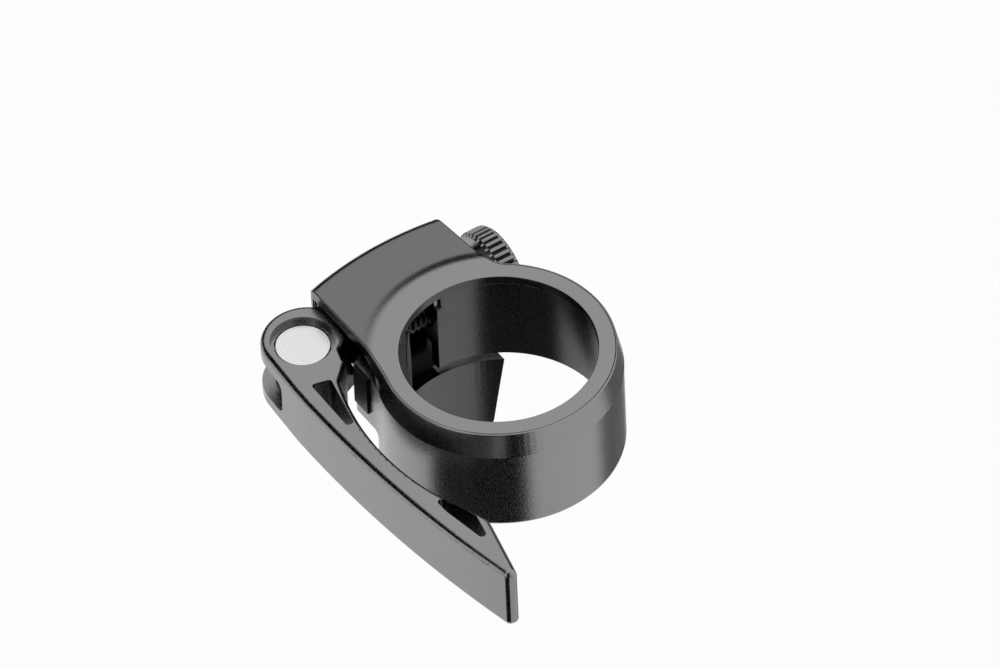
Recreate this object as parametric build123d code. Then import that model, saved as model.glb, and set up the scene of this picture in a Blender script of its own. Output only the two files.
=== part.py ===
from build123d import *
from math import asin, cos, degrees, radians, sin, sqrt
import os

# Quick-release seatpost clamp, in millimetres.
# The origin is on the bore's axis at the clamp ring's lower face, and +Z points up the seatpost.
# +X runs along the skewer from the lever to the nut, and +Y runs from the bore to the lugs.

# Clamp ring
bore_r = 17.45
ring_wall = 2.0
ring_h = 15.1
ring_foot_fillet = 0.6
bore_chamfer = 0.35
spigot_inset = 1.2
spigot_h = 2.75
slot_w = 5.8
slot_x = -3.1
slot_step_w = 1.0
slot_step_h = 1.9

# Lugs that the skewer draws together
lug_z = 4.4
lug_y = 27.6
nut_lug_x = 8.7
lug_corner_r = 1.2
lug_front_x = -17.75
lug_front_y = 8.9
rod_hole_clearance = 0.35
flank_foot_az = 162.0

# Slot guard, the tongue under the slot
guard_half_w = 13.2
guard_foot_half_w = 10.9
guard_h = 18.0
guard_corner_r = 4.0
slit_h = 1.2
slit_end_az = 114.0
shelf_t = 1.6
shelf_low_x = -6.5
shelf_high_x = 3.0
shelf_y = 27.0
shelf_corner_r = 2.0

# Skewer, barrel pin and lever head
skewer_y = 21.8
skewer_z = 10.3
rod_r = 3.0
rod_thread_clearance = 0.04
rod_lever_end = 3.6
rod_end_chamfer = 0.5
pin_x = -22.4
pin_r = 4.5
pin_clearance = 0.05
pin_recess = 1.0
pin_edge_chamfer = 0.25
eye_r = 5.2

# Cam lever
lever_h = 12.0
cam_r = 7.3
cam_offset = 0.9
cam_az = 12.0
fork_gap = 6.5
fork_floor_y = -3.9
fork_floor_r = 1.6
lever_edge_fillet = 1.1
lever_length = 60.5
web_t = 1.2
pocket_corner_r = 0.6



# Cam washer, a saddle with a wing at each side of its hollow
saddle_r = 8.3
saddle_x = -22.05
saddle_y = 21.6
washer_front_x = -18.0
washer_t = 1.4
washer_low_y = 10.7
washer_h = 7.6
seat_clearance = 0.03
seat_end_gap = 0.15
cam_run_clearance = 0.3

# Nut and its washer
nut_washer_r = 5.4
nut_washer_t = 0.9
nut_r = 7.5
nut_rim_t = 3.8
nut_collar_r = 5.2
nut_collar_l = 1.6
nut_teeth = 36
nut_groove_depth = 0.42
nut_chamfer = 0.5
nut_dish_r = 4.9
nut_dish_depth = 0.8
washer_spot_r = 5.6
nut_relief_clearance = 0.3
face_gap = 0.02

# Top cover with its hood
cover_top_z = 19.4
post_hole_r = 15.6
lip_t = 1.5
cover_overhang = 0.05
cover_taper = 0.85
cover_edge_fillet = 0.3
cover_clearance = 0.1
cover_seat_gap = 0.05
hood_drop = 0.5
hood_t = 1.8
hood_near_x = -16.45
hood_far_x = 8.25
hood_root_x = 9.75
hood_near_y = 29.0
hood_mid_y = 31.2
hood_far_y = 30.6
hood_circle_inset = 0.6
hood_tangent_az = 168.4
hood_corner_r = 1.4
hood_flare_r = 22.0
hood_root_r = 6.0
hood_edge_fillet = 0.45
hood_wall_t = 0.85
hood_wall_h = 4.6
lug_wall_gap = 0.4
cove_w = 1.9
rib_t = 1.2
rib_gap = 0.05

# Sizes that follow from those above
ring_r = bore_r + ring_wall
spigot_r = ring_r - spigot_inset
cover_foot_r = ring_r + cover_overhang
cover_top_r = cover_foot_r - cover_taper
hood_circle_r = cover_foot_r - hood_circle_inset
lug_top_z = ring_h
hood_top_z = cover_top_z - hood_drop
hood_under_z = hood_top_z - hood_t
slot_near_x = slot_x - slot_w / 2
slot_far_x = slot_x + slot_w / 2
nut_x = nut_lug_x + nut_washer_t + face_gap
nut_rim_x = nut_x + nut_collar_l
nut_end_x = nut_rim_x + nut_rim_t
lever_top_z = skewer_z + lever_h / 2
lever_foot_z = skewer_z - lever_h / 2


def polar(radius, azimuth, x=0.0, y=0.0):
    """Point at a radius and an azimuth in degrees from a centre."""
    return (x + radius * cos(radians(azimuth)), y + radius * sin(radians(azimuth)))


def skewer_cylinder(radius, x_from, x_to):
    """Solid cylinder on the skewer's axis between two X positions."""
    plane = Plane(origin=(x_from, skewer_y, skewer_z), x_dir=(0, 1, 0), z_dir=(1, 0, 0))
    return extrude(plane * Circle(radius), x_to - x_from)


def slab(x_from, x_to, y_from, y_to, z_from, z_to):
    """Box between two corners."""
    size = (x_to - x_from, y_to - y_from, z_to - z_from)
    middle = ((x_from + x_to) / 2, (y_from + y_to) / 2, (z_from + z_to) / 2)
    return Pos(*middle) * Box(*size)


def disc(radius, z_from, z_to):
    """Solid cylinder on the bore's axis."""
    return Pos(0, 0, z_from) * extrude(Circle(radius), z_to - z_from)


def nut_relief():
    """Cutter that keeps the ring and the cover clear of the turning nut."""
    reach = nut_end_x + 2 * nut_r
    return skewer_cylinder(nut_r + nut_relief_clearance, nut_rim_x - nut_relief_clearance, reach)


def saddle_cutter(depth, height):
    """Cutter for the space in front of a surface that lies a depth behind the washer's front."""
    hollow = Pos(saddle_x, saddle_y) * Circle(saddle_r + depth)
    reach = 2 * ring_r
    front = Pos(washer_front_x + depth, 0) * Rectangle(reach, 2 * reach, align=(Align.MAX, Align.CENTER))
    return Pos(0, 0, skewer_z - height / 2) * extrude(hollow + front, height)


def saddle_hollow(clearance):
    """Cutter for the cam's own space, from under the lugs to over them."""
    hollow = Pos(saddle_x, saddle_y) * Circle(saddle_r + clearance)
    return Pos(0, 0, lug_z - 1) * extrude(hollow, lever_h + 2)


def lug_outline():
    """Plan of both lugs: a flank that leaves the ring, a flat front and square outer ends."""
    foot = polar(ring_r, flank_foot_az)
    inside = (foot[0] + ring_wall, 0)
    corners = [foot, (lug_front_x, lug_front_y), (lug_front_x, lug_y), (nut_lug_x, lug_y), (nut_lug_x, 0)]
    return make_face(Polyline(*corners, inside, close=True))


def make_guard():
    """Tongue that hangs under the slot: part of a shell in line with the ring's wall."""
    shell = disc(ring_r, -guard_h, 0) - disc(bore_r, -guard_h, 0)
    top = slot_x - guard_half_w, slot_x + guard_half_w
    foot = slot_x - guard_foot_half_w, slot_x + guard_foot_half_w
    front = Polyline((top[0], 0), (top[1], 0), (foot[1], -guard_h), (foot[0], -guard_h), close=True)
    profile = Plane.XZ * make_face(front)
    blade = extrude(profile, -2 * ring_r)
    corners = blade.edges().filter_by(Axis.Y).group_by(Axis.Z)[0]
    blade = fillet(corners, guard_corner_r)
    shelf = slab(shelf_low_x, shelf_high_x, bore_r, shelf_y, -slit_h - shelf_t, -slit_h)
    outer_corners = shelf.edges().filter_by(Axis.Z).group_by(Axis.Y)[-1]
    shelf = fillet(outer_corners, shelf_corner_r)
    return (shell & blade) + (shelf - disc(bore_r, -guard_h, 0))


def make_slit():
    """Saw cut that frees the nut-side jaw from the guard."""
    reach = 2 * ring_r
    end = polar(reach, slit_end_az)
    wedge = Polyline((0, 0), (reach, 0), (reach, reach), (end[0], reach), end, close=True)
    cut = extrude(make_face(wedge), slit_h)
    return Pos(0, 0, -slit_h) * cut


def make_clamp_ring():
    """Forged ring, split at the lugs, with the guard in line under its lever-side jaw."""
    body = disc(ring_r, 0, ring_h)
    body = fillet(body.edges().group_by(Axis.Z)[0], ring_foot_fillet)
    body += disc(spigot_r, ring_h, ring_h + spigot_h)
    lugs = Pos(0, 0, lug_z) * extrude(lug_outline(), lug_top_z - lug_z)
    nut_side_corner = lugs.edges().filter_by(Axis.Z).sort_by(Axis.Y)[-2:].sort_by(Axis.X)[-1]
    lugs = fillet(nut_side_corner, lug_corner_r)
    lugs -= saddle_hollow(cam_run_clearance)
    seat_room = washer_h + 2 * seat_end_gap
    seat = saddle_cutter(washer_t + seat_clearance, seat_room)
    lugs -= seat & slab(-2 * ring_r, 0, washer_low_y - seat_end_gap, 2 * lug_y, lug_z, lug_top_z)
    body += lugs
    body -= disc(bore_r, -1, cover_top_z)
    foot_chamfer = Pos(0, 0, 0) * Cone(bore_r + 2 * bore_chamfer, bore_r, 2 * bore_chamfer)
    body -= foot_chamfer
    body += make_guard()
    body -= slab(slot_near_x, slot_far_x, 0, 2 * ring_r, 0, cover_top_z)
    step_z = ring_h - slot_step_h
    body -= slab(slot_near_x - slot_step_w, slot_far_x + slot_step_w, 0, skewer_y - 3.6, step_z, cover_top_z)
    body -= make_slit()
    body -= skewer_cylinder(rod_r + rod_hole_clearance, hood_near_x * 2, nut_lug_x + 1)
    body -= skewer_cylinder(washer_spot_r, nut_lug_x, nut_end_x)
    return body - nut_relief()


def hood_outline():
    """Plan of the cover: a disc with the hood running from it to a bowed outer edge."""
    tangent = polar(hood_circle_r, hood_tangent_az)
    heading = radians(hood_tangent_az - 90)
    climb = (hood_near_x - tangent[0]) / cos(heading)
    bend = (hood_near_x, tangent[1] + climb * sin(heading))
    near = (hood_near_x, hood_near_y)
    far = (hood_far_x, hood_far_y)
    root = (hood_root_x, hood_circle_r * 0.8)
    middle = ((hood_near_x + hood_far_x) / 2, hood_mid_y)
    bow = ThreePointArc(near, middle, far)
    rest = Polyline(far, root, (0, 0), tangent, bend, near)
    hood = make_face(Wire([bow, *rest.edges()]))
    plan = Circle(hood_circle_r) + hood
    plan = fillet(nearest_corner(plan, bend), hood_flare_r)
    plan = fillet(nearest_corner(plan, near), hood_corner_r)
    plan = fillet(nearest_corner(plan, far), hood_corner_r)
    root_y = sqrt(hood_circle_r**2 - hood_root_x**2)
    return fillet(nearest_corner(plan, (hood_root_x, root_y)), hood_root_r)


def nearest_corner(plan, point):
    """The corner of a plan that lies nearest to a point."""
    target = Vector(*point)
    return plan.vertices().sort_by_distance(target)[0]


def make_top_cover():
    """Cap over the ring's spigot, with the post's hole, a skirt and the hood over the lugs."""
    skirt = Polyline(
        (0, ring_h + cover_seat_gap),
        (cover_foot_r, ring_h + cover_seat_gap),
        (cover_top_r, cover_top_z),
        (0, cover_top_z),
        close=True,
    )
    cap = revolve(Plane.XZ * make_face(skirt), Axis.Z)
    cap = fillet(cap.edges().group_by(Axis.Z)[-1], cover_edge_fillet)
    plan = hood_outline()
    plate = Pos(0, 0, hood_under_z) * extrude(plan, hood_t)
    outer_edges = plate.edges().group_by(Axis.Z)[-1]
    plate = fillet(outer_edges, hood_edge_fillet)
    cove = Pos(0, 0, (hood_top_z + cover_top_z) / 2) * Cone(cover_foot_r + cove_w, cover_foot_r, hood_drop)
    over_hood = Pos(0, 0, hood_under_z) * extrude(plan, 2 * hood_t)
    outside = slab(-2 * ring_r, 2 * ring_r, 0, 2 * ring_r, hood_under_z, cover_top_z)
    cap += plate
    cap += cove & over_hood & outside
    wall_plan = plan - Pos(0, -hood_wall_t, 0) * plan
    wall_region = Pos(0, lug_y + lug_wall_gap, 0) * Rectangle(60, 60, align=(Align.CENTER, Align.MIN))
    wall = Pos(0, 0, hood_under_z - hood_wall_h) * extrude(wall_plan & wall_region, hood_wall_h + hood_t / 2)
    cap += wall
    rib_top = hood_under_z + hood_t / 2
    for rib_x in (slot_near_x - 2 * rib_t, slot_far_x + rib_t):
        cap += slab(rib_x, rib_x + rib_t, ring_r, lug_y, lug_top_z + rib_gap, rib_top)
    cap -= disc(spigot_r + cover_clearance, ring_h - 1, ring_h + spigot_h + cover_seat_gap)
    cap -= nut_relief()
    return cap - disc(post_hole_r, ring_h - 1, cover_top_z + 1)


def lever_point(across, along):
    """Point of the lever's plan from the pin, in cam radii across it and lever lengths along it."""
    return (across * cam_r, -along * lever_length)


def lever_outline():
    """Plan of the lever round its pin: the cam disc, a bowed outer face and a finger hook."""
    cam = polar(cam_offset, cam_az)
    back = polar(cam_r, 176.0, *cam)
    nose = polar(cam_r, -28.0, *cam)
    front = polar(cam_r, 74.0, *cam)
    shoulder = lever_point(-0.952, 0.132)
    tip_outer = lever_point(-0.26, 0.992)
    tip_inner = lever_point(-0.014, 1.0)
    hook = lever_point(0.37, 0.797)
    grip_end = lever_point(0.178, 0.744)
    grip_start = lever_point(0.03, 0.168)
    finger = lever_point(0.437, 0.124)
    notch = lever_point(0.56, 0.078)
    disc_edge = ThreePointArc(nose, front, back)
    side = Line(back, shoulder)
    face = ThreePointArc(shoulder, lever_point(-0.829, 0.542), tip_outer)
    end = Polyline(tip_outer, tip_inner, hook, grip_end)
    grip = ThreePointArc(grip_end, lever_point(-0.384, 0.425), grip_start)
    throat = Polyline(grip_start, finger, notch, nose)
    plan = make_face(Wire([disc_edge, side, face, *end.edges(), grip, *throat.edges()]))
    for corner, share in (
        (tip_outer, 0.11),
        (tip_inner, 0.095),
        (hook, 0.55),
        (grip_end, 0.8),
        (grip_start, 0.3),
        (finger, 0.12),
        (notch, 0.13),
        (nose, 0.11),
    ):
        plan = fillet(nearest_corner(plan, corner), share * cam_r)
    return plan


def pocket(*corners):
    """Pair of pockets with rounded corners, from the lever's top and bottom to the web between them."""
    plan = make_face(Polyline(*(lever_point(*corner) for corner in corners), close=True))
    plan = fillet(plan.vertices(), pocket_corner_r)
    pair = Pos(0, 0, -lever_h) * extrude(plan, 2 * lever_h)
    return pair - Box(lever_length, 3 * lever_length, web_t)


def make_cam_lever():
    """Lever with a forked cam head, machined pockets and rounded edges."""
    body = Pos(0, 0, -lever_h / 2) * extrude(lever_outline(), lever_h)
    rims = body.edges().group_by(Axis.Z)
    body = fillet(rims[0] + rims[-1], lever_edge_fillet)
    fork = slab(-20, 20, fork_floor_y, 20, -fork_gap / 2, fork_gap / 2)
    fork = fillet(fork.edges().filter_by(Axis.X).group_by(Axis.Y)[0], fork_floor_r)
    body -= fork
    body -= Pos(0, 0, -lever_h) * extrude(Circle(pin_r + pin_clearance), 2 * lever_h)
    for side in (-1, 1):
        face_z = side * (lever_h / 2 - pin_recess / 2)
        body -= Pos(0, 0, face_z) * Cylinder(eye_r, pin_recess)
    body -= pocket((-0.58, 0.142), (-0.13, 0.156), (-0.43, 0.319), (-0.61, 0.32))
    body -= pocket((-0.29, 0.671), (-0.11, 0.676), (0.178, 0.775), (0.05, 0.846), (-0.1, 0.848), (-0.28, 0.72))
    return Pos(pin_x, skewer_y, skewer_z) * body


def make_barrel_pin():
    """Turned pin across the fork, with a tapped hole for the skewer."""
    length = lever_h - 2 * pin_recess
    body = Cylinder(pin_r, length)
    body = chamfer(body.edges().filter_by(GeomType.CIRCLE), pin_edge_chamfer)
    body = Pos(pin_x, skewer_y, skewer_z) * body
    return body - skewer_cylinder(rod_r + rod_thread_clearance, pin_x - 2 * pin_r, pin_x + 2 * pin_r)


def make_skewer_rod():
    """Threaded rod from the barrel pin to the nut."""
    body = skewer_cylinder(rod_r, pin_x - rod_lever_end, nut_end_x - nut_dish_depth)
    return chamfer(body.edges().filter_by(GeomType.CIRCLE), rod_end_chamfer)


def make_cam_washer():
    """Saddle of bearing plastic between the cam and the lever-side lug."""
    shell = saddle_cutter(washer_t, washer_h) - saddle_cutter(0, washer_h)
    body = shell & slab(washer_front_x, 0, washer_low_y, lug_y, lug_z, lug_top_z)
    hole = skewer_cylinder(rod_r + rod_hole_clearance, pin_x, 0)
    return body - hole


def make_nut_washer():
    """Flat washer under the nut."""
    body = skewer_cylinder(nut_washer_r, nut_lug_x, nut_lug_x + nut_washer_t)
    return body - skewer_cylinder(rod_r + rod_hole_clearance, nut_lug_x - 1, nut_end_x)


def make_knurled_nut():
    """Thumb nut with straight grooves along its rim, a plain collar and a dished outer face."""
    body = skewer_cylinder(nut_r, nut_rim_x, nut_end_x)
    rims = body.edges().filter_by(GeomType.CIRCLE)
    body = chamfer(rims, nut_chamfer)
    pitch = 360 / nut_teeth
    floor_r = nut_r - nut_groove_depth
    half_angle = 0.36 * pitch
    mouth_r = nut_r + nut_groove_depth
    mouth = [polar(mouth_r, half_angle), polar(mouth_r, -half_angle)]
    groove = make_face(Polyline((floor_r, 0), *mouth, close=True))
    grooves = Sketch() + [Rot(0, 0, pitch * tooth) * groove for tooth in range(nut_teeth)]
    plane = Plane(origin=(nut_x, skewer_y, skewer_z), x_dir=(0, 1, 0), z_dir=(1, 0, 0))
    body -= extrude(plane * grooves, nut_end_x)
    body += skewer_cylinder(nut_collar_r, nut_x, nut_end_x - nut_dish_depth)
    body -= skewer_cylinder(nut_dish_r, nut_end_x - nut_dish_depth, nut_end_x + 1)
    return body - skewer_cylinder(rod_r + rod_thread_clearance, nut_x - 1, nut_end_x)


makers = {
    "clamp_ring": make_clamp_ring,
    "top_cover": make_top_cover,
    "cam_lever": make_cam_lever,
    "barrel_pin": make_barrel_pin,
    "skewer_rod": make_skewer_rod,
    "cam_washer": make_cam_washer,
    "nut_washer": make_nut_washer,
    "knurled_nut": make_knurled_nut,
}

os.makedirs("parts", exist_ok=True)
for name, make in makers.items():
    solid = make()
    solid.label = name
    export_step(solid, f"parts/{name}.step")
    print(name, round(solid.volume, 1))
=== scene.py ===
"""Quick-release seatpost clamp: the visible pieces, their finishes, the studio and the camera."""

import math

import bmesh
import bpy
from bpy.props import FloatProperty, PointerProperty
from mathutils import Euler, Matrix, Vector
from mathutils.bvhtree import BVHTree


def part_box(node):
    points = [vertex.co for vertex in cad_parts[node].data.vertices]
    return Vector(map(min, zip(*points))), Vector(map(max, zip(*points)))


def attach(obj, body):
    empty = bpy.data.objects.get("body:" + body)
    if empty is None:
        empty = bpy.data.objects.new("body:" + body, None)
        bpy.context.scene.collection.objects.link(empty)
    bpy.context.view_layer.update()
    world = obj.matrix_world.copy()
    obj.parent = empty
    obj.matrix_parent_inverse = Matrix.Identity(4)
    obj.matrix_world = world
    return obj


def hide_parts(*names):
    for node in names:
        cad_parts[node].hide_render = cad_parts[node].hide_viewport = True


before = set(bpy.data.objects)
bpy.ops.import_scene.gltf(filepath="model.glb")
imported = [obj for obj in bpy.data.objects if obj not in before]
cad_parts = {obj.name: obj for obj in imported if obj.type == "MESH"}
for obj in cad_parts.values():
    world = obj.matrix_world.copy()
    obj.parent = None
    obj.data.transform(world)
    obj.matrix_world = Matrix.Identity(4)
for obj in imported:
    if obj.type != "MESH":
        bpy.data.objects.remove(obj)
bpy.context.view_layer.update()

bl_info = {
    "name": "Seatpost Clamp",
    "version": (1, 0, 0),
    "blender": (4, 5, 0),
    "location": "View3D > Sidebar > Seatpost Clamp",
    "description": "Models a quick-release seatpost clamp round its packed frame",
    "category": "Add Mesh",
}

MM = 0.001

# Lengths are in millimetres where no comment says otherwise. These come from the frame's solids.
BORE_R = 17.45
POST_R = 15.6
SLOT_X = -3.1
SLOT_HALF = 2.9
SHELF_TOP = -1.2
COVER_TOP = 19.4

# The cover's skirt leans out by a share of the way down, and stands upright from HOOD_CLEAR_R on.
SKIRT_R = 19.0
HOOD_CLEAR_R = 21.0
SKIRT_LEAN = 0.1998
# The cove between the raised rim and the hood, and how far down it leads.
COVE_HIGH_R = 19.6
COVE_LOW_R = 22.4
HOOD_DROP = 0.5
# The circle through the hood's bowed outer edge, and the bend of the hood along it.
BOW_X = -0.60
BOW_Y = -24.20
BOW_R = 55.51
HOOD_BEND_R = 2.0
# Points nearer the bow than this belong to its wall: in the new skin, and in the frame's cover.
SKIN_WALL_DEPTH = 0.3
CAD_WALL_DEPTH = 0.6

# The rounding along the skin's edge, the bevel round the post's hole, and the fine line near the edge.
EDGE_R = 0.2
HOLE_BEVEL = 0.08
LINE_OFFSET = 0.34
LINE_DEPTH = 0.16
# Where the frame's outline is read, where the skin's walls end, their thickness, and the skin's floor.
OUTLINE_Z = 18.0
SKIRT_FOOT = 15.15
HOOD_UNDER = 17.1
WALL_FOOT = 12.5
WALL_THICK = 0.85
SKIN_FLOOR = 17.95
# How high the frame's cover may reach under the skin. Past HOLE_WALL_R it is drawn in by a small share.
SKIN_SEAT = 17.96
WALL_SEAT = 16.2
HOLE_WALL_R = POST_R + 1
DRAWN_IN = 0.997
# Rays that read the outline start well outside it. This one is in metres.
RAY_START = 0.1

# The skin's grid: cuts round the axis, and on each cut fixed radii, then offsets inward from its edge.
SKIN_STEPS = 720
COVE_STEPS = 24
COVE_SPAN = COVE_LOW_R - COVE_HIGH_R
RIM_RADII = (POST_R + HOLE_BEVEL, 16.6, 17.6, 18.6)
COVE_RADII = tuple(COVE_HIGH_R + COVE_SPAN * count / COVE_STEPS for count in range(COVE_STEPS + 1))
HOOD_RADII = (23.5, 25.5, 27.5)
TOP_RADII = RIM_RADII + COVE_RADII + HOOD_RADII
WIDE_OFFSETS = (3.0, 2.6, 2.2, 1.8, 1.5, 1.2, 0.95, 0.7, 0.5)
FINE_OFFSETS = (0.44, LINE_OFFSET, 0.26, 0.2, 0.15, 0.1, 0.05, 0.02, 0.0)
EDGE_OFFSETS = WIDE_OFFSETS + FINE_OFFSETS
# Points this close are one: in the frame's meshes and turned pieces, and in the skin.
WELD = 0.0005
SKIN_WELD = 0.002
SKIN_SLIVER = 0.001
# Faces that meet at less than FLAT_DEG are one flat face. Edges over SHARP_DEG are shaded sharp, on the
# nut those over TOOTH_SHARP_DEG, and the lever's edges over HARD_DEG are broken.
FLAT_DEG = 0.05
SHARP_DEG = 30.0
TOOTH_SHARP_DEG = 24.0
HARD_DEG = 35.0

# The turned-up edge of the shelf.
LIP_LOW = (-6.4, 25.5, -1.4)
LIP_HIGH = (2.9, 26.9, 1.9)
LIP_BEVEL = 0.3

# The rod's thread. In shares of the pitch: where a crest ends, and where the root starts and ends.
THREAD_PITCH = 1.0
THREAD_DEPTH = 0.55
CREST_END = 0.12
ROOT_START = 0.50
ROOT_END = 0.62
ROD_BEVEL = 0.5
ROD_STEPS = 48

# The nut: a collar towards the washer, then a grooved rim with a dish in its outer face.
NUT_BORE_R = 3.04
COLLAR_R = 5.2
COLLAR_LENGTH = 1.6
COLLAR_BEVEL = 0.15
DISH_R = 4.9
DISH_DEPTH = 0.8
DISH_BEVEL = 0.12
RIM_BEVEL = 0.5
# One groove to a tooth: half its width as a share of the tooth's arc, and how fast its sides deepen.
TEETH = 38
STEPS_PER_TOOTH = 8
TOOTH_DEPTH = 0.42
GROOVE_HALF = 0.3
GROOVE_STEEPNESS = 1.6
# The grooves' ends slope up to the rim's bevels over these lengths.
GROOVE_RUN_IN = 0.15
GROOVE_RUN_OUT = 0.1

ANODISED_GREY = "#8e8e8e"
# How bright each zone of painted shade on the anodised skin is, as a share of the rest.
BORE_SHADE_SHARE = 0.34
SLOT_SHADE_SHARE = 0.02
SHELF_SHADE_SHARE = 0.08
HOOD_SHADE_SHARE = 0.62
HOLE_SHADE_SHARE = 0.3
GROOVE_SHADE_SHARE = 0.06
# How wide the painted shade's edges are: at the round walls, and where the hood leaves the rim.
WALL_FADE = 0.05
HOOD_FADE = 1.2

# Where the camera aims, right of and above the middle of the cover's top as the camera sees it.
AIM_RIGHT = 0.318
AIM_UP = 2.40
SENSOR_WIDTH = 36.0
# The floor's size and its depth under the clamp, in metres, and how much of it is white without shadow.
FLOOR_SIZE = 3.0
FLOOR_DEPTH = 0.45
FLOOR_WHITE = 0.93
# How bright the tent shines on matt surfaces. The camera and reflections see it at one.
TENT_FILL = 0.85
# Each card's name and grey, then in degrees: where it starts and how far it sweeps, both from the
# camera's side, and its low and high edge.
CARDS = (
    ("card_front", "#020202", -28, 50, -60, 52),
    ("card_left", "#303030", -70, 42, -62, -20),
    ("card_right_far", "#b0b0b0", 100, 60, -62, -20),
    ("card_left_high", "#050505", -128, 70, 6, 54),
    ("card_back", "#050505", 118, 114, -8, 27),
)
CARD_STEPS = 24

# The frame's turned pieces and the skewer's axis, in metres, for the new pieces to follow.
ROD_LOW, ROD_HIGH = (Vector(corner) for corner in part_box("skewer_rod"))
PIN_LOW, PIN_HIGH = (Vector(corner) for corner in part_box("barrel_pin"))
NUT_LOW, NUT_HIGH = (Vector(corner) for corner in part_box("knurled_nut"))
SKEWER_Y = (ROD_LOW.y + ROD_HIGH.y) / 2
SKEWER_Z = (ROD_LOW.z + ROD_HIGH.z) / 2


# Shader nodes


def linear(hex_colour):
    """An sRGB hex colour as linear RGBA."""
    channels = [int(hex_colour[i : i + 2], 16) / 255 for i in (1, 3, 5)]
    return (*(c / 12.92 if c <= 0.04045 else ((c + 0.055) / 1.055) ** 2.4 for c in channels), 1.0)


def add_node(tree, kind, inputs=None, **settings):
    """A shader node with its settings. inputs maps an input's name or number to a value or a socket."""
    node = tree.nodes.new(kind)
    for name, value in settings.items():
        setattr(node, name, value)
    for key, value in (inputs or {}).items():
        if isinstance(value, bpy.types.NodeSocket):
            tree.links.new(value, node.inputs[key])
        else:
            node.inputs[key].default_value = value
    return node


def maths(tree, operation, *values):
    """The result of an operation on numbers or sockets."""
    node = add_node(tree, "ShaderNodeMath", dict(enumerate(values)), operation=operation)
    return node.outputs["Value"]


def inverse(tree, mask):
    """One where a mask is nought, and nought where it is one."""
    return maths(tree, "SUBTRACT", 1.0, mask)


def ramp(tree, value, low, high, start, end):
    """A value between low and high, spread evenly from start to end and held there outside."""
    inputs = {"Value": value, "From Min": low, "From Max": high, "To Min": start, "To Max": end}
    return add_node(tree, "ShaderNodeMapRange", inputs).outputs["Result"]


def step(tree, value, low_mm, high_mm):
    """Nought under one length and one over another, with an even ramp between."""
    return ramp(tree, value, low_mm * MM, high_mm * MM, 0.0, 1.0)


def blend(tree, factor, low, high):
    """A colour between two, which may be colours or sockets."""
    inputs = {"Factor": factor, "A": low, "B": high}
    return add_node(tree, "ShaderNodeMix", inputs, data_type="RGBA").outputs["Result"]


def scaled(colour, share):
    """A linear colour made darker or lighter."""
    return (*(channel * share for channel in colour[:3]), 1.0)


def mottled(tree, pattern, colour, low, high):
    """A colour that a pattern swings between two shares of its brightness."""
    return blend(tree, pattern, scaled(colour, low), scaled(colour, high))


def noise(tree, place, size_mm, detail, roughness=0.5):
    """Cloudy noise with spots about a size across."""
    inputs = {"Vector": place, "Scale": 1 / (size_mm * MM), "Detail": detail, "Roughness": roughness}
    return add_node(tree, "ShaderNodeTexNoise", inputs).outputs["Fac"]


def bump(tree, height, strength, depth_mm):
    """A normal that leans as if a height had a real depth."""
    inputs = {"Height": height, "Strength": strength, "Distance": depth_mm * MM}
    return add_node(tree, "ShaderNodeBump", inputs).outputs["Normal"]


def mixed(tree, share, first, second):
    """A shader between two."""
    return add_node(tree, "ShaderNodeMixShader", {0: share, 1: first, 2: second}).outputs["Shader"]


def object_place(tree):
    """The place on the piece in its own frame, in metres."""
    return add_node(tree, "ShaderNodeTexCoord").outputs["Object"]


def axes(tree, place):
    """The three coordinates of a place."""
    return add_node(tree, "ShaderNodeSeparateXYZ", {"Vector": place}).outputs[:]


def axis_distance(tree, place, centre, across):
    """How far a place lies from an axis. across is one for directions across it and nought along it."""
    inputs = {"Vector": place, "Location": [-value for value in centre], "Scale": across}
    flat = add_node(tree, "ShaderNodeMapping", inputs).outputs["Vector"]
    return add_node(tree, "ShaderNodeVectorMath", {0: flat}, operation="LENGTH").outputs["Value"]


# Masks


def outside(radius_mm, over_mm):
    """A mask of what lies further from the bore's axis than a radius, with a ramp outward from there."""

    def mask(tree, place):
        reach = axis_distance(tree, place, centre=(0, 0, 0), across=(1, 1, 0))
        return step(tree, reach, radius_mm, radius_mm + over_mm)

    return mask


def within(radius_mm, over_mm):
    """A mask of what lies nearer the bore's axis than a radius, with a ramp outward from there."""
    return lambda tree, place: inverse(tree, outside(radius_mm, over_mm)(tree, place))


def slot_shade_mask(tree, place):
    """One inside the slot between the lugs, nought elsewhere: where shade is painted into the slot."""
    x, y, z = axes(tree, place)
    away = maths(tree, "ABSOLUTE", maths(tree, "SUBTRACT", x, SLOT_X * MM))
    between_lugs = inverse(tree, step(tree, away, SLOT_HALF, SLOT_HALF + 0.1))
    # The slot lies off the middle, so it meets the round wall of the bore a little short of its radius.
    past_bore = step(tree, y, BORE_R - 1.2, BORE_R - 0.9)
    over_shelf = step(tree, z, SHELF_TOP - 0.1, SHELF_TOP)
    return maths(tree, "MULTIPLY", maths(tree, "MULTIPLY", between_lugs, past_bore), over_shelf)


def shelf_shade_mask(tree, place):
    """One on the shelf and its lip under the slot, nought elsewhere: where shade is painted under the
    slot.
    """
    _, y, z = axes(tree, place)
    # From just outside the ring, and up to just over the lip.
    low = inverse(tree, step(tree, z, SHELF_TOP + 3.3, SHELF_TOP + 3.4))
    return maths(tree, "MULTIPLY", low, step(tree, y, BORE_R + 2.1, BORE_R + 2.2))


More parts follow.
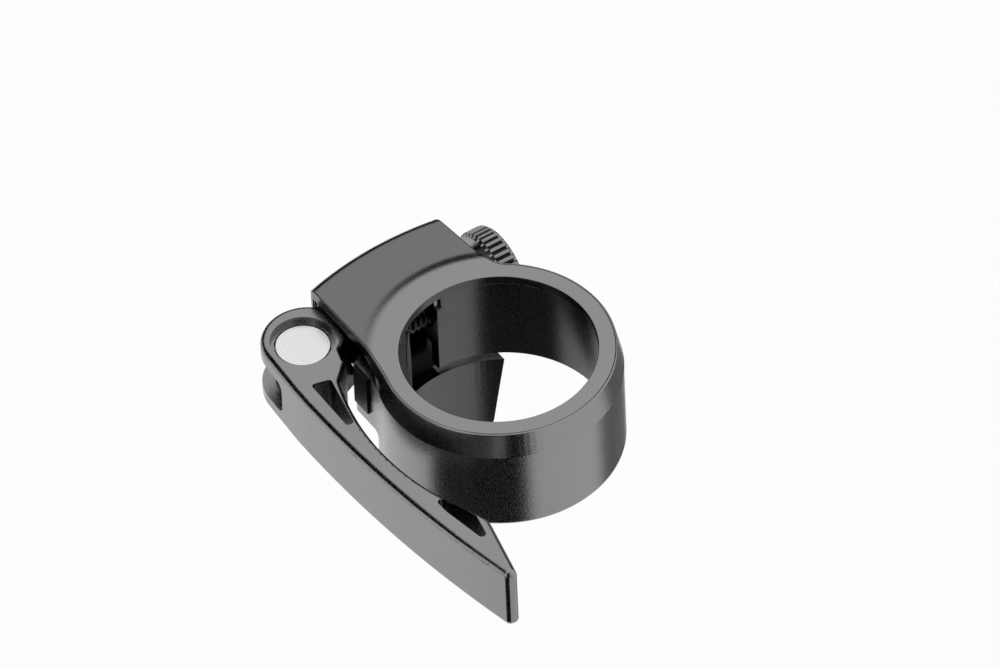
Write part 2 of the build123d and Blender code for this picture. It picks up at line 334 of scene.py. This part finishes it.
def groove_shade_mask(tree, place):
    """One on the floors of the nut's grooves, nought elsewhere: where shade is painted into the grooves.
    """
    reach = axis_distance(tree, place, centre=(0, SKEWER_Y, SKEWER_Z), across=(0, 1, 1))
    outer = (NUT_HIGH.y - NUT_LOW.y) / 2 / MM
    # The ramp lies on a groove's sides, and the other two keep the mask off the rim's bevels.
    low = inverse(tree, step(tree, reach, outer - 0.3, outer - 0.12))
    start = NUT_LOW.x / MM + COLLAR_LENGTH + RIM_BEVEL
    end = NUT_HIGH.x / MM - RIM_BEVEL
    x = axes(tree, place)[0]
    past_start = step(tree, x, start + 0.04, start + 0.1)
    past_end = step(tree, x, end - 0.04, end - 0.02)
    return maths(tree, "MULTIPLY", low, maths(tree, "SUBTRACT", past_start, past_end))


# Materials


def new_material(name):
    """An empty node material and its tree."""
    material = bpy.data.materials.new(name)
    material.use_nodes = True
    material.node_tree.nodes.clear()
    return material, material.node_tree


def end_material(tree, shader):
    """Sends a shader to the material's surface."""
    add_node(tree, "ShaderNodeOutputMaterial", {"Surface": shader})


def principled(tree, colour, normal, metallic, roughness):
    """The shader that a material's colour, gloss and grain go into."""
    inputs = {"Base Color": colour, "Metallic": metallic, "Roughness": roughness, "Normal": normal}
    return add_node(tree, "ShaderNodeBsdfPrincipled", inputs).outputs["BSDF"]


def blasted_anodised(name, colour, finish, zones=()):
    """Bead-blasted and anodised aluminium: an even satin skin whose fine pits break up each reflection.

    zones gives (mask, share) pairs of painted shade: where a mask is one, the skin is drawn a share as
    bright.
    """
    material, tree = new_material(name)
    place = object_place(tree)
    # The real grit is about 0.1 mm, too fine for the render, so it is drawn coarser.
    grit = noise(tree, place, size_mm=finish.grit, detail=3.0, roughness=0.6)
    # Dye takes a little unevenly over some 15 mm, so that large faces aren't flat in colour.
    drift = noise(tree, place, size_mm=15, detail=2.0)
    base = linear(colour)
    skin = mottled(tree, drift, base, low=0.95, high=1.05)
    for mask, share in zones:
        skin = blend(tree, mask(tree, place), skin, scaled(base, share))
    # The grit also varies the gloss a little, which makes a highlight sparkle.
    roughness = ramp(tree, grit, 0.3, 0.7, finish.body_gloss - 0.04, finish.body_gloss + 0.05)
    normal = bump(tree, grit, strength=1.0, depth_mm=finish.pit_depth)
    end_material(tree, principled(tree, skin, normal, metallic=1.0, roughness=roughness))
    return material


def turned_steel(name, colour, centre, ring_mm, axis):
    """Face-turned steel: the tool's fine circles round the centre spread the light across them."""
    material, tree = new_material(name)
    inputs = {"Vector": object_place(tree), "Location": [-value for value in centre]}
    centred = add_node(tree, "ShaderNodeMapping", inputs).outputs["Vector"]
    # A wave texture of scale one repeats each 0.314 of a metre.
    rings = add_node(
        tree,
        "ShaderNodeTexWave",
        {
            "Vector": centred,
            "Scale": math.pi / 10 / (ring_mm * MM),
            "Distortion": 1.2,
            "Detail": 2.0,
            "Detail Scale": 0.6,
        },
        wave_type="RINGS",
        rings_direction=axis,
    ).outputs["Fac"]
    tint = mottled(tree, rings, linear(colour), low=0.74, high=1.0)
    normal = bump(tree, rings, strength=0.6, depth_mm=0.01)
    end_material(tree, principled(tree, tint, normal, metallic=1.0, roughness=0.3))
    return material


def moulded_black(name, colour):
    """Moulded acetal bearing plastic: a dark, slightly waxy skin with a fine grain from the mould."""
    material, tree = new_material(name)
    grain = noise(tree, object_place(tree), size_mm=0.6, detail=4.0)
    tint = mottled(tree, grain, linear(colour), low=0.85, high=1.15)
    normal = bump(tree, grain, strength=0.6, depth_mm=0.02)
    end_material(tree, principled(tree, tint, normal, metallic=0.0, roughness=0.4))
    return material


# Mesh helpers


def new_object(bm, name, material):
    """Turns a finished bmesh into an object at the origin."""
    mesh = bpy.data.meshes.new(name)
    bm.to_mesh(mesh)
    bm.free()
    mesh.materials.append(material)
    obj = bpy.data.objects.new(name, mesh)
    bpy.context.scene.collection.objects.link(obj)
    return obj


def object_from(bm, name, material, body):
    """Turns a finished bmesh into an object that rides on a body."""
    obj = new_object(bm, name, material)
    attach(obj, body)
    return obj


def shade(obj, sharp_deg=SHARP_DEG):
    """Smooth shading that keeps edges sharper than an angle, and lets the largest faces lead."""
    obj.data.shade_smooth()
    obj.data.set_sharp_from_angle(angle=math.radians(sharp_deg))
    weighted = obj.modifiers.new("Even normals", "WEIGHTED_NORMAL")
    weighted.keep_sharp = True
    weighted.weight = 100


def soften(obj, width_mm):
    """Breaks the hard edges as a file or a tumbler does."""
    bevel = obj.modifiers.new("Broken edges", "BEVEL")
    bevel.width = width_mm * MM
    bevel.segments = 2
    bevel.limit_method = "ANGLE"
    bevel.angle_limit = math.radians(HARD_DEG)


def welded_mesh(node):
    """A frame solid's mesh with its loose triangles merged, so that it takes smooth shading."""
    bm = bmesh.new()
    bm.from_mesh(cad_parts[node].data)
    bmesh.ops.remove_doubles(bm, verts=bm.verts, dist=WELD * MM)
    return bm


def welded_copy(node, name, material, body):
    """A piece with a frame solid's own shape and smooth shading."""
    bm = welded_mesh(node)
    bmesh.ops.dissolve_limit(bm, angle_limit=math.radians(FLAT_DEG), verts=bm.verts, edges=bm.edges)
    obj = object_from(bm, name, material, body)
    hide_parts(node)
    return obj


def spun(points, axis, sweep, steps, closed=False):
    """A surface swept by a chain of points round an axis through the origin."""
    bm = bmesh.new()
    verts = [bmesh.ops.create_vert(bm, co=point)["vert"][0] for point in points]
    for first, second in zip(verts, verts[1:] + verts[:1] if closed else verts[1:]):
        bmesh.ops.contextual_create(bm, geom=[first, second])
    bmesh.ops.spin(
        bm,
        geom=bm.verts[:] + bm.edges[:],
        cent=(0, 0, 0),
        axis=axis,
        angle=sweep,
        steps=steps,
        use_merge=sweep == math.tau,
    )
    return bm


def turned(profile, steps):
    """A piece turned round the X axis from (along, radius) points."""
    points = [(along, radius, 0) for along, radius in profile]
    bm = spun(points, (1, 0, 0), math.tau, steps)
    bmesh.ops.remove_doubles(bm, verts=bm.verts, dist=WELD * MM)
    return bm


def seat(bm):
    """Moves a turned piece to the skewer's axis, with its faces outward."""
    bmesh.ops.translate(bm, verts=bm.verts, vec=(0, SKEWER_Y, SKEWER_Z))
    bmesh.ops.recalc_face_normals(bm, faces=bm.faces)


# The cover's skin


def held(share):
    """A share kept between nought and one."""
    return min(1.0, max(0.0, share))


def bow_depth(x, y):
    """How far a point lies inside the hood's bowed outer edge."""
    return BOW_R - math.hypot(x - BOW_X, y - BOW_Y)


def skin_height(radius, x, y):
    """Height of the cover's top: the faced rim, the cove down to the hood and the hood's bent edge."""
    share = held((radius - COVE_HIGH_R) / COVE_SPAN)
    height = COVER_TOP - HOOD_DROP * share * share * (3 - 2 * share)
    rest = max(0.0, HOOD_BEND_R - max(0.0, bow_depth(x, y)))
    return height - HOOD_BEND_R + math.sqrt(HOOD_BEND_R**2 - rest**2)


def skin_stations(reach, heading):
    """Points (radius, height) round one cut of the cover's top. reach is where its outline lies."""
    lean = SKIRT_LEAN * held((HOOD_CLEAR_R - reach) / (HOOD_CLEAR_R - SKIRT_R))
    edge = reach - lean * (COVER_TOP - OUTLINE_Z)
    radii = [max(TOP_RADII[0], min(radius, edge - EDGE_OFFSETS[0])) for radius in TOP_RADII]
    radii += [edge - offset for offset in EDGE_OFFSETS]
    points = [(POST_R, COVER_TOP - HOLE_BEVEL)]
    for radius in radii:
        x, y = heading * radius
        inset = edge - radius
        drop = EDGE_R - math.sqrt(EDGE_R**2 - max(0.0, EDGE_R - inset) ** 2)
        if math.isclose(inset, LINE_OFFSET, abs_tol=0.001):
            drop += LINE_DEPTH
        # The edge's rounding and its line run out where the hood bends down to the bow.
        share = held(bow_depth(x, y) / HOOD_BEND_R)
        points.append((radius, skin_height(radius, x, y) - share * drop))
    if reach < SKIRT_R:
        foot = SKIRT_FOOT
    elif bow_depth(*(heading * edge)) < SKIN_WALL_DEPTH:
        foot = WALL_FOOT
    else:
        foot = HOOD_UNDER
    outer = edge + lean * (COVER_TOP - foot)
    inner = outer - WALL_THICK
    return points + [(outer, foot), (inner, foot), (inner, SKIN_FLOOR), (POST_R, SKIN_FLOOR)]


# Settings


class ClampFinishSettings(bpy.types.PropertyGroup):
    """Gloss, grain and edges of the anodised pieces."""

    body_gloss: FloatProperty(
        name="Body roughness",
        description="Roughness of the blasted and anodised surfaces",
        default=0.23,
        min=0.0,
        max=1.0,
        subtype="FACTOR",
    )
    grit: FloatProperty(
        name="Grit size",
        description="Width of the blasting pits as drawn, in millimetres",
        default=0.25,
        min=0.05,
        max=2.0,
    )
    edge_break: FloatProperty(
        name="Edge break",
        description="Width of the lever's broken edges, in millimetres",
        default=0.16,
        min=0.0,
        max=1.0,
    )
    pit_depth: FloatProperty(
        name="Pit depth",
        description="Depth of the blasting pits, in millimetres",
        default=0.018,
        min=0.0,
        max=0.5,
    )


class ClampStudioSettings(bpy.types.PropertyGroup):
    """The camera's place and the studio's size."""

    azimuth: FloatProperty(
        name="Camera azimuth",
        description="Turn of the camera round the clamp, nought looking along +Y",
        default=math.radians(-32.0),
        subtype="ANGLE",
    )
    elevation: FloatProperty(
        name="Camera elevation",
        description="Height of the camera over the horizon",
        default=math.radians(46.21),
        subtype="ANGLE",
    )
    roll: FloatProperty(
        name="Camera roll",
        description="Turn of the camera about its own view",
        default=math.radians(2.58),
        subtype="ANGLE",
    )
    distance: FloatProperty(
        name="Camera distance",
        description="Distance from the camera to the aim point",
        default=3.2718,
        unit="LENGTH",
    )
    focal_length: FloatProperty(
        name="Focal length",
        description="Focal length on a 36 mm wide sensor",
        default=755.57,
        unit="CAMERA",
    )
    card_distance: FloatProperty(
        name="Card distance",
        description="Distance from the bore's axis to the cards that shape the reflections",
        default=0.30,
        unit="LENGTH",
    )


# Operators


class CLAMP_OT_stage(bpy.types.Operator):
    """Sets up the camera, the floor, the cards and the soft light"""

    bl_idname = "clamp.stage"
    bl_label = "Stage"

    def execute(self, context):
        values = context.scene.clamp_studio
        self.place_camera(context, values)
        self.light_world(context)
        self.lay_floor()
        self.hang_cards(values)
        return {"FINISHED"}

    def place_camera(self, context, values):
        """A long lens, turned and rolled as in the photograph."""
        around, up = values.azimuth, values.elevation
        level = math.cos(up)
        forward = Vector((-math.sin(around) * level, math.cos(around) * level, -math.sin(up)))
        right = Vector((math.cos(around), math.sin(around), 0.0))
        above = right.cross(forward)
        aim = Vector((0, 0, COVER_TOP * MM)) + (AIM_RIGHT * right + AIM_UP * above) * MM
        turned_right = math.cos(values.roll) * right - math.sin(values.roll) * above
        turned_above = math.sin(values.roll) * right + math.cos(values.roll) * above
        lens = bpy.data.cameras.new("camera")
        lens.lens = values.focal_length
        lens.sensor_width = SENSOR_WIDTH
        lens.clip_end = 20.0
        camera = bpy.data.objects.new("camera", lens)
        turn = Matrix((turned_right, turned_above, -forward)).transposed().to_4x4()
        camera.matrix_world = Matrix.Translation(aim - values.distance * forward) @ turn
        context.scene.collection.objects.link(camera)
        context.scene.camera = camera

    def light_world(self, context):
        """A white tent all round, seen at full white by the camera and in reflections."""
        world = bpy.data.worlds.new("white_tent")
        world.use_nodes = True
        tree = world.node_tree
        tree.nodes.clear()
        ray = add_node(tree, "ShaderNodeLightPath").outputs
        seen = maths(tree, "MAXIMUM", ray["Is Camera Ray"], ray["Is Transmission Ray"])
        seen = maths(tree, "MAXIMUM", seen, ray["Is Glossy Ray"])
        lit, white = (
            add_node(tree, "ShaderNodeBackground", {"Color": linear("#ffffff"), "Strength": strength})
            for strength in (TENT_FILL, 1.0)
        )
        tent = mixed(tree, seen, lit.outputs["Background"], white.outputs["Background"])
        add_node(tree, "ShaderNodeOutputWorld", {"Surface": tent})
        context.scene.world = world
        context.scene.view_settings.view_transform = "Standard"

    def lay_floor(self):
        """A pale floor well under the clamp, which keeps a trace of its shadow."""
        material, tree = new_material("white_floor")
        ray = add_node(tree, "ShaderNodeLightPath").outputs
        seen = maths(tree, "MAXIMUM", ray["Is Camera Ray"], ray["Is Glossy Ray"])
        share = maths(tree, "MULTIPLY", seen, FLOOR_WHITE)
        paper = add_node(tree, "ShaderNodeBsdfDiffuse", {"Color": linear("#f4f4f4")})
        glow = add_node(tree, "ShaderNodeEmission", {"Color": linear("#ffffff"), "Strength": 1.0})
        end_material(tree, mixed(tree, share, paper.outputs["BSDF"], glow.outputs["Emission"]))
        bm = bmesh.new()
        bmesh.ops.create_grid(bm, x_segments=1, y_segments=1, size=FLOOR_SIZE)
        bmesh.ops.translate(bm, verts=bm.verts, vec=(0, 0, -FLOOR_DEPTH))
        new_object(bm, "floor", material)

    def hang_cards(self, values):
        """Cards unseen by the camera, which the satin metal shows as dark and grey bands."""
        camera_side = math.degrees(values.azimuth) - 90
        for name, grey, start, sweep, *edges in CARDS:
            spot = Vector((values.card_distance, 0.0, 0.0))
            spot.rotate(Euler((0, 0, math.radians(camera_side + start))))
            heights = [values.card_distance * math.tan(math.radians(edge)) for edge in edges]
            points = [(spot.x, spot.y, height) for height in heights]
            bm = spun(points, (0, 0, 1), math.radians(sweep), CARD_STEPS)
            new_object(bm, name, self.card_material(name, grey))

    def card_material(self, name, grey):
        """Matt card that the camera looks through."""
        material, tree = new_material(name)
        ray = add_node(tree, "ShaderNodeLightPath").outputs
        card = add_node(tree, "ShaderNodeBsdfDiffuse", {"Color": linear(grey)})
        clear = add_node(tree, "ShaderNodeBsdfTransparent")
        shader = mixed(tree, ray["Is Camera Ray"], card.outputs["BSDF"], clear.outputs["BSDF"])
        end_material(tree, shader)
        return material


class CLAMP_OT_bodies(bpy.types.Operator):
    """Dresses the ring and the lever, and makes the cover's smooth top and the shelf's lip"""

    bl_idname = "clamp.bodies"
    bl_label = "Ring, cover and lever"

    def execute(self, context):
        finish = context.scene.clamp_finish
        # Painted shade: the bored wall, the sawn slot and the shelf under it are drawn darker than the
        # blasted outside, for the shade that falls inside them.
        ring_shade_zones = (
            (within(BORE_R + WALL_FADE, WALL_FADE), BORE_SHADE_SHARE),
            (slot_shade_mask, SLOT_SHADE_SHARE),
            (shelf_shade_mask, SHELF_SHADE_SHARE),
        )
        # Painted shade: the hood beyond the raised rim is drawn darker than the rim, for the light it
        # catches less, and the wall of the post's hole darker for the shade in it.
        cover_shade_zones = (
            (outside(COVE_HIGH_R, HOOD_FADE), HOOD_SHADE_SHARE),
            (within(POST_R + WALL_FADE, WALL_FADE), HOLE_SHADE_SHARE),
        )
        ring = blasted_anodised("anodised_aluminium_ring", ANODISED_GREY, finish, ring_shade_zones)
        cover = blasted_anodised("anodised_aluminium_cover", ANODISED_GREY, finish, cover_shade_zones)
        lever = blasted_anodised("anodised_aluminium_lever", ANODISED_GREY, finish)
        ring_piece = welded_copy("clamp_ring", "ring_and_lugs", ring, "clamp")
        lever_piece = welded_copy("cam_lever", "lever_and_cam", lever, "lever")
        soften(lever_piece, finish.edge_break)
        for obj, slot_name in ((ring_piece, "ring"), (lever_piece, "lever")):
            shade(obj)
        self.add_shelf_lip(ring)
        self.make_cover(cover)
        return {"FINISHED"}

    def add_shelf_lip(self, material):
        """The turned-up back edge of the shelf under the slot, which closes the view through it. Its
        dark colour is painted shade.
        """
        low = Vector(LIP_LOW) * MM
        high = Vector(LIP_HIGH) * MM
        bm = bmesh.new()
        bmesh.ops.create_cube(bm, size=1.0)
        bmesh.ops.scale(bm, verts=bm.verts, vec=high - low)
        bmesh.ops.translate(bm, verts=bm.verts, vec=(low + high) / 2)
        bmesh.ops.bevel(
            bm,
            geom=bm.edges[:],
            offset=LIP_BEVEL * MM,
            affect="EDGES",
            segments=2,
            profile=0.5,
            material=-1,
        )
        obj = object_from(bm, "shelf_lip", material, "clamp")
        shade(obj)

    def make_cover(self, material):
        """The cover: the frame's skirt and ribs under a smooth top with its cove and bent edge."""
        skirt = welded_mesh("top_cover")
        outline = BVHTree.FromBMesh(skirt)
        self.lower_skirt(skirt)
        for bm, name in ((skirt, "cover_skirt"), (self.cover_skin(outline), "cover_top")):
            obj = object_from(bm, name, material, "clamp")
            shade(obj)
            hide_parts("top_cover")

    def lower_skirt(self, skirt):
        """Lowers the frame's cover under the skin, and draws it in to keep its walls off the skin's."""
        for vert in skirt.verts:
            spot = vert.co / MM
            vert.co.z = min(spot.z, SKIN_SEAT) * MM
            if bow_depth(spot.x, spot.y) < CAD_WALL_DEPTH and spot.z > WALL_SEAT:
                vert.co.z = WALL_SEAT * MM
            if spot.xy.length > HOLE_WALL_R:
                vert.co.xy *= DRAWN_IN

    def cover_skin(self, outline):
        """The smooth top: a closed chain spun round the bore, each cut shaped to the outline there."""
        count = len(skin_stations(SKIRT_R, Vector((1.0, 0.0))))
        # The chain's points lie a millimetre apart, so that each one's radius still tells its number.
        chain = [((number + 1) * MM, 0, 0) for number in range(count)]
        skin = spun(chain, (0, 0, 1), math.tau, SKIN_STEPS, closed=True)
        cuts = {}
        for vert in skin.verts:
            station = round(vert.co.xy.length / MM) - 1
            heading = vert.co.xy.normalized()
            turn = round(math.atan2(heading.y, heading.x) / math.tau * SKIN_STEPS)
            if turn not in cuts:
                start = Vector((*(heading * RAY_START), OUTLINE_Z * MM))
                hit = outline.ray_cast(start, Vector((-heading.x, -heading.y, 0)))[0]
                cuts[turn] = skin_stations(hit.xy.length / MM, heading)
            radius, height = cuts[turn][station]
            vert.co = Vector((*(heading * radius), height)) * MM
        bmesh.ops.remove_doubles(skin, verts=skin.verts, dist=SKIN_WELD * MM)
        bmesh.ops.dissolve_degenerate(skin, dist=SKIN_SLIVER * MM, edges=skin.edges)
        bmesh.ops.recalc_face_normals(skin, faces=skin.faces)
        return skin


class CLAMP_OT_hardware(bpy.types.Operator):
    """Makes the nut and the threaded rod, and dresses the pin and the washers"""

    bl_idname = "clamp.hardware"
    bl_label = "Pin, rod, washers and nut"

    def execute(self, context):
        finish = context.scene.clamp_finish
        pin_centre = (PIN_LOW + PIN_HIGH) / 2
        rod_centre = (0, SKEWER_Y, SKEWER_Z)
        steel = turned_steel("face_turned_steel", "#f4f4f4", pin_centre, ring_mm=0.36, axis="Z")
        plated = turned_steel("zinc_plated_thread", "#3a3a3a", rod_centre, ring_mm=0.5, axis="X")
        plastic = moulded_black("moulded_acetal", "#101010")
        # The grooves' floors are drawn darker: painted shade in the recesses.
        grooves = ((groove_shade_mask, GROOVE_SHADE_SHARE),)
        anodised = blasted_anodised("anodised_aluminium_nut", "#8a8a8a", finish, grooves)
        for node, name, material, body, slot_name in (
            ("barrel_pin", "pin_turned", steel, "skewer", "pin"),
            ("cam_washer", "washer_curved", plastic, "clamp", "washer"),
            ("nut_washer", "washer_flat", plated, "clamp", "nut_washer"),
        ):
            obj = welded_copy(node, name, material, body)
            shade(obj)
        self.turn_rod(plated)
        self.turn_nut(anodised)
        return {"FINISHED"}

    def turn_rod(self, material):
        """Rod with thread ridges along its length."""
        radius = (ROD_HIGH.y - ROD_LOW.y) / 2
        root = radius - THREAD_DEPTH * MM
        pitch = THREAD_PITCH * MM
        bevel = ROD_BEVEL * MM
        profile = [(ROD_LOW.x, 0.0), (ROD_LOW.x, radius - bevel)]
        for turn in range(int((ROD_HIGH.x - ROD_LOW.x - 2 * bevel) / pitch)):
            along = ROD_LOW.x + bevel + turn * pitch
            profile += [
                (along, radius),
                (along + CREST_END * pitch, radius),
                (along + ROOT_START * pitch, root),
                (along + ROOT_END * pitch, root),
            ]
        profile += [(ROD_HIGH.x - bevel, radius), (ROD_HIGH.x, radius - bevel), (ROD_HIGH.x, 0.0)]
        bm = turned(profile, ROD_STEPS)
        seat(bm)
        obj = object_from(bm, "rod_threaded", material, "skewer")
        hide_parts("skewer_rod")
        shade(obj)

    def turn_nut(self, material):
        """Thumb nut with a grooved rim, a plain collar and a dished face."""
        outer = (NUT_HIGH.y - NUT_LOW.y) / 2
        low, high = NUT_LOW.x, NUT_HIGH.x
        bore, collar, dish, bevel = NUT_BORE_R * MM, COLLAR_R * MM, DISH_R * MM, RIM_BEVEL * MM
        rim = low + COLLAR_LENGTH * MM
        floor = high - DISH_DEPTH * MM
        profile = [
            (low, bore),
            (low, collar - COLLAR_BEVEL * MM),
            (low + COLLAR_BEVEL * MM, collar),
            (rim, collar),
            (rim, outer - bevel),
            (rim + bevel, outer),
            (rim + bevel + GROOVE_RUN_IN * MM, outer),
            (high - bevel - GROOVE_RUN_OUT * MM, outer),
            (high - bevel, outer),
            (high, outer - bevel),
            (high, dish + DISH_BEVEL * MM),
            (high - DISH_BEVEL * MM, dish),
            (floor, dish),
            (floor, bore),
            (low, bore),
        ]
        bm = turned(profile, TEETH * STEPS_PER_TOOTH)
        # The rim's points sink where a groove passes, apart from those on its bevels.
        for vert in bm.verts:
            reach = math.hypot(vert.co.y, vert.co.z)
            if reach > outer - 0.01 * MM and rim + bevel < vert.co.x < high - bevel:
                turn = math.atan2(vert.co.z, vert.co.y) / (math.tau / TEETH) % 1.0
                depth = max(0.0, 1 - abs(turn - 0.5) / GROOVE_HALF)
                share = 1 - TOOTH_DEPTH * MM * min(1.0, depth * GROOVE_STEEPNESS) / reach
                vert.co.y *= share
                vert.co.z *= share
        seat(bm)
        obj = object_from(bm, "nut_knurled", material, "nut")
        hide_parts("knurled_nut")
        shade(obj, TOOTH_SHARP_DEG)


class CLAMP_PT_panel(bpy.types.Panel):
    """Lists the clamp's pieces in the sidebar"""

    bl_label = "Seatpost Clamp"
    bl_idname = "CLAMP_PT_panel"
    bl_space_type = "VIEW_3D"
    bl_region_type = "UI"
    bl_category = "Seatpost Clamp"

    def draw(self, context):
        for operator in OPERATORS:
            self.layout.operator(operator.bl_idname)
        for group in (context.scene.clamp_finish, context.scene.clamp_studio):
            for key in group.bl_rna.properties.keys():
                if key not in {"rna_type", "name"}:
                    self.layout.prop(group, key)


OPERATORS = (CLAMP_OT_stage, CLAMP_OT_bodies, CLAMP_OT_hardware)
CLASSES = (ClampFinishSettings, ClampStudioSettings, *OPERATORS, CLAMP_PT_panel)


def register():
    for cls in CLASSES:
        bpy.utils.register_class(cls)
    bpy.types.Scene.clamp_finish = PointerProperty(type=ClampFinishSettings)
    bpy.types.Scene.clamp_studio = PointerProperty(type=ClampStudioSettings)


def unregister():
    del bpy.types.Scene.clamp_studio
    del bpy.types.Scene.clamp_finish
    for cls in reversed(CLASSES):
        bpy.utils.unregister_class(cls)


def main():
    register()
    bpy.ops.clamp.stage()
    bpy.ops.clamp.bodies()
    bpy.ops.clamp.hardware()


if __name__ == "__main__":
    main()
